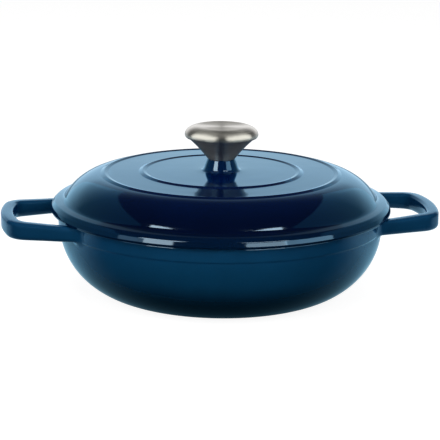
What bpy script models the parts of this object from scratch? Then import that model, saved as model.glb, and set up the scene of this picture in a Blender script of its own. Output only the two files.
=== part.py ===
"""Lidded saute pan in enamelled cast iron, with two loop handles and a stainless knob.

Metres, +Z up. The origin is on the surface that the pan stands on, under its centre, and the
handles lie along X. Turned pieces are profiles with a Screw modifier. The handles are lofted
along their centre line and joined to the pan, and the inside is cut out afterwards.
"""
import math

import bmesh
import bpy
from mathutils import Vector

# Pan casting
RIM_HEIGHT = 0.0768
RIM_RADIUS = 0.1465
RIM_WIDTH = 0.0044
RIM_EDGE = 0.0012
BAND_HEIGHT = 0.0124
BAND_DRAFT = 0.0003
BAND_STEP = 0.0009
PAN_WALL = 0.0040
PAN_FLOOR = 0.0050
BOWL_REACH = 0.0651
BOWL_FULLNESS = 1.95
BOWL_TURN = 82.0

# Loop handles, cast with the pan
HANDLE_LENGTH = 0.0509
HANDLE_ROOT_HALF_WIDTH = 0.0592
HANDLE_TAPER = 17.0
HANDLE_CORNER = 0.0220
HANDLE_END_RADIUS = 0.1470
HANDLE_WIDTH = 0.0115
HANDLE_ROOT_DROP = 0.0005
HANDLE_ROOT_THICKNESS = 0.0135
HANDLE_END_RISE = 0.0022
HANDLE_END_THICKNESS = 0.0167
HANDLE_EDGE = 0.0026
HANDLE_LOWER_EDGE = 0.0042
HANDLE_GRIP_EDGE = 0.0062
HANDLE_FILLET = 0.0045
HANDLE_SINK = 0.0030

# Lid casting
SEAT_GAP = 0.0003
LID_OVERHANG = 0.0064
LID_RISE = 0.0350
LID_CROWN = 0.0008
LID_WALL = 0.0037
RING_STEP = 0.0007
RING_SLOPE = 0.0016
RING_INSET = 0.0479
RING_SPACING = 0.0345
DOME_RADIUS = 0.0440
DOME_FOOT_INSET = 0.0120
FLANGE_THICKNESS = 0.0088
FLANGE_SLOPE = 0.0016
FLANGE_ROLL = 0.0062
FLANGE_LOWER_ROLL = 0.0012
FLANGE_FILLET = 0.0030
FLANGE_FILLET_WIDTH = 0.0024
FLANGE_FILLET_FOOT = 0.0006
LIP_PLAY = 0.0010
LIP_WIDTH = 0.0034
LIP_DEPTH = 0.0034
LIP_EDGE = 0.0008
BOSS_HEIGHT = 0.0105
BOSS_TOP_RADIUS = 0.0123
BOSS_FOOT_RADIUS = 0.0160
BOSS_FILLET = 0.0032
BOSS_FILLET_RISE = 0.0013
BOSS_FILLET_RADIUS = 0.0042
BOSS_EDGE = 0.0006

# Knob, turned stainless steel
FIT_GAP = 0.0003
CONE_TOP_RADIUS = 0.0294
CONE_HEIGHT = 0.0190
CONE_FLARE_RADIUS = 0.1300
CONE_WALL = 0.0014
CONE_FLOOR = 0.0016
COLLAR_HEIGHT = 0.0020
COLLAR_STEP = 0.0009
CAP_RADIUS = 0.0330
CAP_SHOULDER = 0.0110
CAP_CROWN = 0.0080
CAP_SKIRT = 0.0022
CAP_LEDGE = 0.0016
CAP_WALL = 0.0016
CAP_DISH = 0.0005
CAP_DISH_RADIUS = 0.0130
CAP_OVERLAP = 0.0016

# Fastening under the lid
SCREW_RADIUS = 0.0025
SCREW_HOLE_PLAY = 0.0005
SCREW_REACH = 0.0105
SCREW_TIP_BEVEL = 0.0006
SCREW_HEAD_RADIUS = 0.0048
SCREW_HEAD_HEIGHT = 0.0034
SCREW_HEAD_ROUND = 0.0024
RECESS_SPAN = 0.0052
RECESS_WIDTH = 0.0011
RECESS_DEPTH = 0.0017
WASHER_RADIUS = 0.0065
WASHER_THICKNESS = 0.0012
LOCK_WASHER_RADIUS = 0.0046
LOCK_WASHER_THICKNESS = 0.0014
LOCK_WASHER_SPLIT = 0.0008
LOCK_WASHER_SLANT = 25.0
INSERT_RADIUS = 0.0052
INSERT_FLANGE_RADIUS = 0.0085
INSERT_FLANGE_THICKNESS = 0.0015
INSERT_HEIGHT = 0.0140
INSERT_EDGE = 0.0005

# Fineness
CASTING_SEGMENTS = 60
KNOB_SEGMENTS = 36
SMALL_SEGMENTS = 24
BOWL_STEPS = 10
DOME_STEPS = 7
ROLL_STEPS = 5
EDGE_STEPS = 3
SOFT_EDGE_STEPS = 2
MERGE_DISTANCE = 0.000005
SHARP_ANGLE = math.radians(40.0)

# Heights and radii that follow from the sizes above
BAND_FOOT = RIM_HEIGHT - BAND_HEIGHT
BOWL_RADIUS = RIM_RADIUS - BAND_DRAFT - BAND_STEP
BOWL_TOP = BAND_FOOT - BAND_STEP / 2
BOWL_CENTRE_RADIUS = BOWL_RADIUS - BOWL_REACH
MOUTH_RADIUS = RIM_RADIUS - RIM_WIDTH
HANDLE_REACH = RIM_RADIUS + HANDLE_LENGTH
SEAT = RIM_HEIGHT + SEAT_GAP
LID_RADIUS = RIM_RADIUS + LID_OVERHANG
OUTER_RING_RADIUS = LID_RADIUS - RING_INSET
INNER_RING_RADIUS = OUTER_RING_RADIUS - RING_SPACING
LID_TOP = SEAT + LID_RISE
BOSS_TOP = LID_TOP + BOSS_HEIGHT
HOLE_RADIUS = SCREW_RADIUS + SCREW_HOLE_PLAY
CONE_FOOT = BOSS_TOP + FIT_GAP
CONE_TOP = CONE_FOOT + CONE_HEIGHT
COLLAR_RADIUS = CONE_TOP_RADIUS + COLLAR_STEP
COLLAR_TOP = CONE_TOP + COLLAR_HEIGHT
CAP_LEDGE_HEIGHT = COLLAR_TOP + FIT_GAP
CAP_FOOT = COLLAR_TOP - CAP_OVERLAP
CAP_WAIST = CAP_FOOT + CAP_SKIRT
CAP_TOP = CAP_WAIST + CAP_CROWN


def clear_scene():
    """Removes every object that the file holds."""
    for item in list(bpy.data.objects):
        bpy.data.objects.remove(item, do_unlink=True)


def make_collection(name):
    """Returns a new collection linked to the scene."""
    collection = bpy.data.collections.new(name)
    bpy.context.scene.collection.children.link(collection)
    return collection


def make_material(name, colour, roughness, metallic):
    """Returns a Principled material in one colour."""
    material = bpy.data.materials.new(name)
    material.use_nodes = True
    shader = material.node_tree.nodes["Principled BSDF"]
    shader.inputs["Base Color"].default_value = (*colour, 1.0)
    shader.inputs["Roughness"].default_value = roughness
    shader.inputs["Metallic"].default_value = metallic
    return material


def arc(centre, radii, start, end, steps):
    """Points (radius, height) along an elliptical arc, with angles in degrees from outwards."""
    points = []
    for step in range(steps + 1):
        angle = math.radians(start + (end - start) * step / steps)
        points.append((centre[0] + radii[0] * math.cos(angle), centre[1] + radii[1] * math.sin(angle)))
    return points


def arc_centre(start, end, radius, side):
    """Centre of the circle through two points; side is +1 to the left of the way, -1 to the right."""
    chord = Vector((end[0] - start[0], end[1] - start[1]))
    middle = Vector((start[0] + end[0], start[1] + end[1])) / 2
    across = Vector((-chord.y, chord.x)).normalized()
    return middle + side * across * math.sqrt(radius ** 2 - (chord.length / 2) ** 2)


def arc_between(start, end, radius, side, steps):
    """Points of the short arc from start to end, whose centre lies on the given side."""
    centre = arc_centre(start, end, radius, side)
    first = math.atan2(start[1] - centre.y, start[0] - centre.x)
    last = math.atan2(end[1] - centre.y, end[0] - centre.x)
    turn = (last - first + math.pi) % (2 * math.pi) - math.pi
    points = []
    for step in range(steps + 1):
        angle = first + turn * step / steps
        points.append((centre.x + radius * math.cos(angle), centre.y + radius * math.sin(angle)))
    return points


def turned(name, profile, segments, collection, closed):
    """Returns an object turned about Z from a profile that runs down its outer side."""
    mesh = bpy.data.meshes.new(name)
    count = len(profile)
    edges = [(index, index + 1) for index in range(count - 1)]
    if closed:
        edges.append((count - 1, 0))
    mesh.from_pydata([(radius, 0.0, height) for radius, height in profile], edges, [])
    item = bpy.data.objects.new(name, mesh)
    collection.objects.link(item)
    screw = item.modifiers.new("Turn", "SCREW")
    screw.axis = "Z"
    screw.angle = math.tau
    screw.steps = segments
    screw.render_steps = segments
    screw.use_merge_vertices = True
    screw.merge_threshold = MERGE_DISTANCE
    screw.use_smooth_shade = True
    return item


def boolean(item, operand, operation):
    """Adds an exact Boolean modifier."""
    modifier = item.modifiers.new(operand.name, "BOOLEAN")
    modifier.operation = operation
    modifier.solver = "EXACT"
    modifier.object = operand


def as_guide(item):
    """Marks a cutter or joined form, which isn't a piece of its own."""
    item.hide_render = True
    item.display_type = "WIRE"


def finish(item, material):
    """Turns the evaluated shape into the object's own mesh, shades it and gives it its material."""
    graph = bpy.context.evaluated_depsgraph_get()
    mesh = bpy.data.meshes.new_from_object(item.evaluated_get(graph))
    item.modifiers.clear()
    item.data = mesh
    shape = bmesh.new()
    shape.from_mesh(mesh)
    bmesh.ops.remove_doubles(shape, verts=shape.verts, dist=MERGE_DISTANCE)
    bmesh.ops.dissolve_degenerate(shape, edges=shape.edges, dist=MERGE_DISTANCE)
    shape.to_mesh(mesh)
    shape.free()
    mesh.shade_smooth()
    mesh.set_sharp_from_angle(angle=SHARP_ANGLE)
    mesh.materials.clear()
    mesh.materials.append(material)


def bowl_curve(reach, top, depth, turn, steps):
    """Quarter of a full oval, from the upright wall at the top down towards the floor."""
    power = 2 / BOWL_FULLNESS
    points = []
    for step in range(steps + 1):
        angle = math.radians(turn) * step / steps
        radius = BOWL_CENTRE_RADIUS + reach * max(math.cos(angle), 0.0) ** power
        points.append((radius, top - depth * math.sin(angle) ** power))
    return points


def pan_outline():
    """Outer profile of the pan, from the axis at rim height down to the axis at the base."""
    round_over = BAND_STEP / 2
    depth = BOWL_TOP / math.sin(math.radians(BOWL_TURN)) ** (2 / BOWL_FULLNESS)
    foot_radius = RIM_RADIUS - BAND_DRAFT
    top_edge = (RIM_RADIUS - RIM_EDGE, RIM_HEIGHT - RIM_EDGE)
    lower_edge = (foot_radius - round_over, BAND_FOOT + round_over)
    crease = (BOWL_RADIUS + round_over, BOWL_TOP)
    points = [(0.0, RIM_HEIGHT)]
    points += arc(top_edge, (RIM_EDGE, RIM_EDGE), 90, 0, EDGE_STEPS)
    points += arc(lower_edge, (round_over, round_over), 0, -90, EDGE_STEPS)
    points += arc(crease, (round_over, round_over), 90, 180, SOFT_EDGE_STEPS)[1:-1]
    points += bowl_curve(BOWL_REACH, BOWL_TOP, depth, BOWL_TURN, BOWL_STEPS)
    points.append((0.0, 0.0))
    return points


def pan_hollow():
    """Profile of the inside, from above the rim down to the floor."""
    above = RIM_HEIGHT + RIM_WIDTH
    edge = (MOUTH_RADIUS + RIM_EDGE, RIM_HEIGHT - RIM_EDGE)
    points = [(0.0, above), (MOUTH_RADIUS + RIM_EDGE, above)]
    points += arc(edge, (RIM_EDGE, RIM_EDGE), 90, 180, EDGE_STEPS)
    points += bowl_curve(BOWL_REACH - PAN_WALL, BOWL_TOP, BOWL_TOP - PAN_FLOOR, 90.0, BOWL_STEPS)
    points.append((0.0, PAN_FLOOR))
    return points


def wall_radius(outline, height):
    """Outer radius of the pan at a height, read between the outline's points."""
    for upper, lower in zip(outline[1:], outline[2:]):
        if lower[1] <= height <= upper[1] and upper[1] > lower[1]:
            share = (height - lower[1]) / (upper[1] - lower[1])
            return lower[0] + (upper[0] - lower[0]) * share
    return outline[1][0]


class HandlePath:
    """Plan of one loop: straight tapering sides, round corners and a slightly bowed end."""

    def __init__(self):
        taper = math.radians(HANDLE_TAPER)
        half = HANDLE_WIDTH / 2
        self.along = Vector((math.cos(taper), -math.sin(taper)))
        self.across = Vector((math.sin(taper), math.cos(taper)))
        self.side_point = Vector((RIM_RADIUS, HANDLE_ROOT_HALF_WIDTH)) - self.across * half
        self.corner_radius = HANDLE_CORNER - half
        self.end_radius = HANDLE_END_RADIUS - half
        self.end_centre = Vector((HANDLE_REACH - HANDLE_END_RADIUS, 0.0))
        offset = self.side_point - self.across * self.corner_radius - self.end_centre
        reach = self.end_radius - self.corner_radius
        along = offset.dot(self.along)
        travel = -along + math.sqrt(along ** 2 - offset.length_squared + reach ** 2)
        self.corner_centre = self.end_centre + offset + self.along * travel
        towards = self.corner_centre - self.end_centre
        self.side_angle = math.pi / 2 - taper
        self.end_angle = math.atan2(towards.y, towards.x)

    def stations(self, corner_steps, end_steps):
        """Centre points and outward directions from the end of one side to the other."""
        result = []
        for step in range(corner_steps):
            angle = self.side_angle + (self.end_angle - self.side_angle) * step / corner_steps
            outward = Vector((math.cos(angle), math.sin(angle)))
            result.append((self.corner_centre + outward * self.corner_radius, outward))
        for step in range(end_steps):
            angle = self.end_angle * (1 - step / end_steps)
            outward = Vector((math.cos(angle), math.sin(angle)))
            result.append((self.end_centre + outward * self.end_radius, outward))
        middle = Vector((1.0, 0.0))
        mirrored = [(mirror_plan(point), mirror_plan(outward)) for point, outward in reversed(result)]
        return result + [(self.end_centre + middle * self.end_radius, middle)] + mirrored


def mirror_plan(point):
    """Reflects a plan point across the handle's middle line."""
    return Vector((point.x, -point.y))


def handle_heights(radius):
    """Top and bottom of the handle at a distance along X."""
    share = (radius - RIM_RADIUS) / HANDLE_LENGTH
    top = RIM_HEIGHT - HANDLE_ROOT_DROP + (HANDLE_ROOT_DROP + HANDLE_END_RISE) * share
    thickness = HANDLE_ROOT_THICKNESS + (HANDLE_END_THICKNESS - HANDLE_ROOT_THICKNESS) * share
    return top, top - thickness


def section_template(corner_steps):
    """Bar section: for each point its corner's sides, the corner's rounding and its direction."""
    corners = ((1, 1, HANDLE_EDGE), (-1, 1, HANDLE_EDGE), (-1, -1, HANDLE_GRIP_EDGE), (1, -1, HANDLE_LOWER_EDGE))
    template = []
    for quarter, (side, upright, rounding) in enumerate(corners):
        for step in range(corner_steps + 1):
            angle = math.pi / 2 * (quarter + step / corner_steps)
            template.append((side, upright, rounding, math.cos(angle), math.sin(angle)))
    return template


def section_point(template_point, centre, outward, swell):
    """One point of a section; swell grows it sideways and downwards, as a fillet does."""
    side, upright, rounding, sideways, upwards = template_point
    top, bottom = handle_heights(centre.x)
    lateral = side * (HANDLE_WIDTH / 2 - rounding) + (rounding + swell) * sideways
    plan = centre + outward * lateral
    middle = (top + bottom) / 2
    half = (top - bottom) / 2 - rounding
    height = middle + upright * half + rounding * upwards + swell * min(upwards, 0.0)
    return Vector((plan.x, plan.y, height))


def root_section(template, path, outline, swell, distance):
    """Section that follows the pan's curved wall at a distance outside it."""
    points = []
    for template_point in template:
        point = section_point(template_point, path.side_point, path.across, swell)
        plan = Vector((point.x, point.y))
        inward = -path.along
        along = plan.dot(inward)
        target = wall_radius(outline, point.z)
        travel = -along - math.sqrt(along ** 2 - plan.length_squared + target ** 2)
        plan = plan + inward * (travel - distance)
        points.append(Vector((plan.x, plan.y, point.z)))
    return points


def handle_rings(outline, fillet_steps, corner_steps, end_steps, edge_steps):
    """All sections of the right handle, from inside one wall round to inside the other."""
    path = HandlePath()
    template = section_template(edge_steps)
    roots = [root_section(template, path, outline, HANDLE_FILLET, -HANDLE_SINK)]
    for step in range(fillet_steps + 1):
        angle = math.pi / 2 * step / fillet_steps
        swell = HANDLE_FILLET * (1 - math.sin(angle))
        distance = HANDLE_FILLET * (1 - math.cos(angle))
        roots.append(root_section(template, path, outline, swell, distance))
    rings = list(roots)
    for centre, outward in path.stations(corner_steps, end_steps):
        rings.append([section_point(point, centre, outward, 0.0) for point in template])
    for ring in reversed(roots):
        rings.append([Vector((point.x, -point.y, point.z)) for point in ring])
    return rings


def loft(name, rings, collection):
    """Closed skin over a row of sections with equal point counts."""
    shape = bmesh.new()
    rows = [[shape.verts.new(point) for point in ring] for ring in rings]
    count = len(rings[0])
    for row, following in zip(rows, rows[1:]):
        for index in range(count):
            onward = (index + 1) % count
            shape.faces.new((row[index], row[onward], following[onward], following[index]))
    shape.faces.new(rows[0])
    shape.faces.new(rows[-1])
    bmesh.ops.remove_doubles(shape, verts=shape.verts, dist=MERGE_DISTANCE)
    bmesh.ops.recalc_face_normals(shape, faces=shape.faces)
    mesh = bpy.data.meshes.new(name)
    shape.to_mesh(mesh)
    shape.free()
    mesh.shade_smooth()
    item = bpy.data.objects.new(name, mesh)
    collection.objects.link(item)
    return item


def build_pan(parts, guides, enamel):
    """Pan casting: turned body, two loop handles joined on, and the inside cut out."""
    outline = pan_outline()
    pan = turned("pan_body", outline, CASTING_SEGMENTS, parts, closed=False)
    rings = handle_rings(outline, 3, 5, 3, 2)
    for index, name in enumerate(("handle_right", "handle_left")):
        handle = loft(name, rings, guides)
        handle.rotation_euler.z = math.pi * index
        as_guide(handle)
        boolean(pan, handle, "UNION")
    hollow = turned("pan_hollow", pan_hollow(), CASTING_SEGMENTS, guides, closed=False)
    as_guide(hollow)
    boolean(pan, hollow, "DIFFERENCE")
    finish(pan, enamel)


def crown_height(radius, steps_down):
    """Height of the lid's nearly flat top, lowered by the ring steps passed on the way out."""
    return LID_TOP - LID_CROWN * (radius / OUTER_RING_RADIUS) ** 2 - RING_STEP * steps_down


def dome_shoulder():
    """Point just outside the outer ring, where the dome begins to fall."""
    radius = OUTER_RING_RADIUS + RING_SLOPE / 2
    return radius, crown_height(radius, 2)


def dome_foot():
    """Point where the dome meets the flange."""
    return LID_RADIUS - DOME_FOOT_INSET, SEAT + FLANGE_THICKNESS + FLANGE_SLOPE


def lid_outline():
    """Outer profile of the lid, from the boss's hole down to the flange's underside."""
    half_slope = RING_SLOPE / 2
    boss_edge = (BOSS_TOP_RADIUS - BOSS_EDGE, BOSS_TOP - BOSS_EDGE)
    boss_foot = (BOSS_FOOT_RADIUS, LID_TOP + BOSS_FILLET_RISE)
    fillet_radius = BOSS_FOOT_RADIUS + BOSS_FILLET
    fillet_end = (fillet_radius, crown_height(fillet_radius, 0))
    points = [(HOLE_RADIUS, BOSS_TOP)]
    points += arc(boss_edge, (BOSS_EDGE, BOSS_EDGE), 90, 15, SOFT_EDGE_STEPS)
    points += arc_between(boss_foot, fillet_end, BOSS_FILLET_RADIUS, 1, SOFT_EDGE_STEPS)
    for passed, ring in enumerate((INNER_RING_RADIUS, OUTER_RING_RADIUS)):
        points.append((ring - half_slope, crown_height(ring - half_slope, passed)))
        points.append((ring + half_slope, crown_height(ring + half_slope, passed + 1)))
    foot = dome_foot()
    points += arc_between(points[-1], foot, DOME_RADIUS, -1, DOME_STEPS)[1:]
    flange_start = (foot[0] + FLANGE_FILLET_WIDTH, SEAT + FLANGE_THICKNESS + FLANGE_FILLET_FOOT)
    points += arc_between(foot, flange_start, FLANGE_FILLET, 1, SOFT_EDGE_STEPS)[1:]
    roll_height = FLANGE_THICKNESS - FLANGE_LOWER_ROLL
    roll_centre = (LID_RADIUS - FLANGE_ROLL, SEAT + FLANGE_LOWER_ROLL)
    points += arc(roll_centre, (FLANGE_ROLL, roll_height), 90, 0, ROLL_STEPS)
    lower_centre = (LID_RADIUS - FLANGE_LOWER_ROLL, SEAT + FLANGE_LOWER_ROLL)
    points += arc(lower_centre, (FLANGE_LOWER_ROLL, FLANGE_LOWER_ROLL), 0, -90, EDGE_STEPS)[1:]
    return points


def lid_underside():
    """Inner profile of the lid, from the seat inwards over the locating lip and up to the hole."""
    lip_outer = MOUTH_RADIUS - LIP_PLAY
    lip_inner = lip_outer - LIP_WIDTH
    lip_foot = SEAT - LIP_DEPTH
    points = [(lip_outer, SEAT)]
    edge = (LIP_EDGE, LIP_EDGE)
    points += arc((lip_outer - LIP_EDGE, lip_foot + LIP_EDGE), edge, 0, -90, SOFT_EDGE_STEPS)
    points += arc((lip_inner + LIP_EDGE, lip_foot + LIP_EDGE), edge, -90, -180, SOFT_EDGE_STEPS)
    centre = arc_centre(dome_shoulder(), dome_foot(), DOME_RADIUS, -1)
    inner_radius = DOME_RADIUS - LID_WALL
    start = math.degrees(math.acos((lip_inner - centre.x) / inner_radius))
    points += arc((centre.x, centre.y), (inner_radius, inner_radius), start, 90, DOME_STEPS)
    points.append((HOLE_RADIUS, centre.y + inner_radius))
    return points


def build_lid(parts, enamel):
    """Lid casting with its knob boss, stepped top, rolled flange and locating lip."""
    lid = turned("lid", lid_outline() + lid_underside(), CASTING_SEGMENTS, parts, closed=True)
    finish(lid, enamel)


def cone_skin(inset, foot, top, steps):
    """Flared side of the knob between two heights, moved inwards by a sheet thickness."""
    start = (BOSS_TOP_RADIUS, CONE_FOOT)
    end = (CONE_TOP_RADIUS, CONE_TOP)
    centre = arc_centre(start, end, CONE_FLARE_RADIUS, -1)
    radius = CONE_FLARE_RADIUS + inset
    points = []
    for step in range(steps + 1):
        height = foot + (top - foot) * step / steps
        reach = math.sqrt(radius ** 2 - (height - centre.y) ** 2)
        points.append((centre.x - reach, height))
    return points


def build_knob_cone(parts, steel):
    """Flared skirt of the knob, a thin turned shell with a floor and a collar for the cap."""
    outer = cone_skin(0.0, CONE_FOOT, CONE_TOP, 5)
    inner = cone_skin(CONE_WALL, CONE_FOOT + CONE_FLOOR, CONE_TOP, 4)
    collar_inner = COLLAR_RADIUS - CONE_WALL
    profile = [(collar_inner, COLLAR_TOP), (COLLAR_RADIUS, COLLAR_TOP)]
    profile += [(COLLAR_RADIUS, CONE_TOP + COLLAR_STEP / 2)]
    profile += list(reversed(outer))
    profile += [(HOLE_RADIUS, CONE_FOOT), (HOLE_RADIUS, CONE_FOOT + CONE_FLOOR)]
    profile += inner
    profile += [(collar_inner, CONE_TOP + COLLAR_STEP)]
    cone = turned("knob_cone", profile, KNOB_SEGMENTS, parts, closed=True)
    finish(cone, steel)


def build_knob_cap(parts, steel):
    """Crowned cap with a shallow dish on top, a rolled edge and a ledge that sits on the collar."""
    shoulder_radius = CAP_RADIUS - CAP_SHOULDER
    skirt_inner = COLLAR_RADIUS + FIT_GAP
    ledge_inner = skirt_inner - CAP_LEDGE
    skirt_width = CAP_RADIUS - skirt_inner
    hollow_top = CAP_TOP - CAP_DISH - CAP_WALL
    profile = [(0.0, CAP_TOP - CAP_DISH), (CAP_DISH_RADIUS, CAP_TOP - CAP_DISH)]
    profile += arc((shoulder_radius, CAP_WAIST), (CAP_SHOULDER, CAP_CROWN), 90, 0, 7)
    profile += arc((CAP_RADIUS - skirt_width / 2, CAP_FOOT + skirt_width / 2),
                   (skirt_width / 2, skirt_width / 2), 0, -180, 4)
    profile += [(skirt_inner, CAP_LEDGE_HEIGHT), (ledge_inner, CAP_LEDGE_HEIGHT)]
    profile += arc((shoulder_radius, CAP_LEDGE_HEIGHT),
                   (ledge_inner - shoulder_radius, hollow_top - CAP_LEDGE_HEIGHT), 0, 90, 4)[1:]
    profile.append((0.0, hollow_top))
    cap = turned("knob_cap", profile, KNOB_SEGMENTS, parts, closed=False)
    finish(cap, steel)


def build_knob_insert(parts, steel):
    """Threaded insert that stands on the skirt's floor and takes the screw."""
    foot = CONE_FOOT + CONE_FLOOR + FIT_GAP
    top = foot + INSERT_HEIGHT
    bore = SCREW_RADIUS + FIT_GAP
    flange_top = foot + INSERT_FLANGE_THICKNESS
    profile = [(0.0, top), (INSERT_RADIUS - INSERT_EDGE, top), (INSERT_RADIUS, top - INSERT_EDGE)]
    profile += [(INSERT_RADIUS, flange_top), (INSERT_FLANGE_RADIUS, flange_top)]
    profile += [(INSERT_FLANGE_RADIUS, foot), (bore, foot)]
    profile += [(bore, foot + SCREW_REACH + FIT_GAP), (0.0, foot + SCREW_REACH + bore + FIT_GAP)]
    insert = turned("knob_insert", profile, SMALL_SEGMENTS, parts, closed=False)
    finish(insert, steel)


def washer_profile(inner, outer, top, thickness):
    """Rectangular section of a washer, down its outer side."""
    return [(inner, top), (outer, top), (outer, top - thickness), (inner, top - thickness)]


def build_flat_washer(parts, steel):
    """Flat washer that bears on the lid's underside."""
    top = lid_underside()[-1][1] - FIT_GAP
    profile = washer_profile(HOLE_RADIUS, WASHER_RADIUS, top, WASHER_THICKNESS)
    washer = turned("flat_washer", profile, SMALL_SEGMENTS, parts, closed=True)
    finish(washer, steel)
    return top - WASHER_THICKNESS


def build_lock_washer(parts, guides, steel, seat):
    """Split spring washer, cut through on a slant."""
    top = seat - FIT_GAP
    profile = washer_profile(HOLE_RADIUS, LOCK_WASHER_RADIUS, top, LOCK_WASHER_THICKNESS)
    washer = turned("lock_washer", profile, SMALL_SEGMENTS, parts, closed=True)
    span = LOCK_WASHER_RADIUS - HOLE_RADIUS
    size = (span * 2, LOCK_WASHER_SPLIT, LOCK_WASHER_THICKNESS * 3)
    place = ((LOCK_WASHER_RADIUS + HOLE_RADIUS) / 2, 0.0, top - LOCK_WASHER_THICKNESS / 2)
    cutter = box_guide("lock_washer_split", size, place, guides)
    cutter.rotation_euler.x = math.radians(LOCK_WASHER_SLANT)
    boolean(washer, cutter, "DIFFERENCE")
    finish(washer, steel)
    return top - LOCK_WASHER_THICKNESS


def box_guide(name, size, place, collection):
    """A box cutter of given size about a place."""
    shape = bmesh.new()
    bmesh.ops.create_cube(shape, size=1.0)
    bmesh.ops.scale(shape, vec=size, verts=shape.verts)
    mesh = bpy.data.meshes.new(name)
    shape.to_mesh(mesh)
    shape.free()
    item = bpy.data.objects.new(name, mesh)
    item.location = place
    collection.objects.link(item)
    as_guide(item)
    return item


def build_knob_screw(parts, guides, steel, seat):
    """Pan-head screw with a cross recess, up through the washers and the lid into the insert."""
    head_top = seat - FIT_GAP
    head_foot = head_top - SCREW_HEAD_HEIGHT
    tip = CONE_FOOT + CONE_FLOOR + FIT_GAP + SCREW_REACH
    round_centre = (SCREW_HEAD_RADIUS - SCREW_HEAD_ROUND, head_foot + SCREW_HEAD_ROUND)
    profile = [(0.0, tip), (SCREW_RADIUS - SCREW_TIP_BEVEL, tip), (SCREW_RADIUS, tip - SCREW_TIP_BEVEL)]
    profile += [(SCREW_RADIUS, head_top), (SCREW_HEAD_RADIUS, head_top)]
    profile += arc(round_centre, (SCREW_HEAD_ROUND, SCREW_HEAD_ROUND), 0, -90, EDGE_STEPS)
    profile.append((0.0, head_foot))
    screw = turned("knob_screw", profile, SMALL_SEGMENTS, parts, closed=False)
    for turn in (0, 1):
        sizes = (RECESS_SPAN, RECESS_WIDTH) if turn == 0 else (RECESS_WIDTH, RECESS_SPAN)
        cutter = box_guide(f"recess_{turn}", (*sizes, RECESS_DEPTH * 2), (0.0, 0.0, head_foot), guides)
        boolean(screw, cutter, "DIFFERENCE")
    finish(screw, steel)


def main():
    """Builds every piece of the pan."""
    clear_scene()
    parts = make_collection("saute_pan")
    guides = make_collection("guides")
    enamel = make_material("enamel_blue", (0.010, 0.055, 0.120), 0.12, 0.0)
    polished = make_material("stainless_brushed", (0.60, 0.59, 0.57), 0.28, 1.0)
    plated = make_material("steel_plated", (0.55, 0.55, 0.56), 0.35, 1.0)
    build_pan(parts, guides, enamel)
    build_lid(parts, enamel)
    build_knob_cone(parts, polished)
    build_knob_cap(parts, polished)
    build_knob_insert(parts, plated)
    washer_foot = build_flat_washer(parts, plated)
    lock_foot = build_lock_washer(parts, guides, plated, washer_foot)
    build_knob_screw(parts, guides, plated, lock_foot)


main()
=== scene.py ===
"""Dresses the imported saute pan: enamelled castings, a spun steel knob, the studio and the camera."""
import logging
import math
from dataclasses import dataclass
from enum import Enum
from typing import Sequence

import bmesh
import bpy
from mathutils import Matrix, Vector


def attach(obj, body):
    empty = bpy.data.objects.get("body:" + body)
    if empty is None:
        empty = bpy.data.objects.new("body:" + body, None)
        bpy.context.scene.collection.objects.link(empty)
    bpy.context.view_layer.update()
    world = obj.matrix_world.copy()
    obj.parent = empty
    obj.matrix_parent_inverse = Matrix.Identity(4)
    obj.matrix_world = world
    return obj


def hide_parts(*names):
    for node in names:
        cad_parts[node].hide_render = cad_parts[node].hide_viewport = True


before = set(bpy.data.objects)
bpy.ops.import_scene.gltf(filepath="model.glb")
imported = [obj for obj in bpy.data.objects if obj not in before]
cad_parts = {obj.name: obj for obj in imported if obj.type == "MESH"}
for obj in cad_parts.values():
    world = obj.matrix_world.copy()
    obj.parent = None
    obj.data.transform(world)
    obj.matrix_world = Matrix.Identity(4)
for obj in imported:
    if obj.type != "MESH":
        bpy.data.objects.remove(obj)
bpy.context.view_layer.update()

LOG = logging.getLogger("saute_pan")

MERGE_DISTANCE = 0.000002
STRAIGHT = math.radians(179.0)

Point = tuple[float, float]
Triple = tuple[float, float, float]
Colour = Triple
Stops = tuple[tuple[float, Colour], ...]
Piece = bpy.types.Object
Material = bpy.types.Material
Socket = bpy.types.NodeSocket

WHITE: Colour = (1.0, 1.0, 1.0)
PAN_STOPS: Stops = (
    (0.00, (0.0002, 0.0070, 0.0100)),
    (0.25, (0.0003, 0.0095, 0.0170)),
    (0.60, (0.0036, 0.0400, 0.0820)),
    (1.00, (0.0060, 0.0460, 0.0980)),
)
LID_STOPS: Stops = (
    (0.00, (0.0008, 0.0120, 0.0380)),
    (0.14, (0.0002, 0.0060, 0.0340)),
    (0.70, (0.0002, 0.0040, 0.0260)),
    (0.90, (0.0001, 0.0015, 0.0110)),
    (1.00, (0.0003, 0.0060, 0.0200)),
)


class ShadeAlong(Enum):
    """Way along which an enamel changes its colour."""

    HEIGHT = "height"
    RADIUS = "radius"


class Body(Enum):
    """Moving bodies of the frame."""

    PAN = "pan"
    LID = "lid"


class LampUse(Enum):
    """What a lamp is for: light on every colour, or its image in the enamel or in the steel."""

    COLOUR = "colour"
    ENAMEL_GLOSS = "enamel gloss"
    STEEL_GLOSS = "steel gloss"


def arc(centre: Point, radii: Point, start: float, end: float, steps: int) -> list[Point]:
    """Samples an elliptical arc.

    Args:
        centre: Radius and height of the centre.
        radii: Half widths along the radius and the height.
        start: First angle in degrees, from straight outwards.
        end: Last angle in degrees.
        steps: Number of chords.

    Returns:
        The points, from start to end.
    """
    points = []
    for step in range(steps + 1):
        angle = math.radians(start + (end - start) * step / steps)
        points.append((centre[0] + radii[0] * math.cos(angle), centre[1] + radii[1] * math.sin(angle)))
    return points


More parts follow.
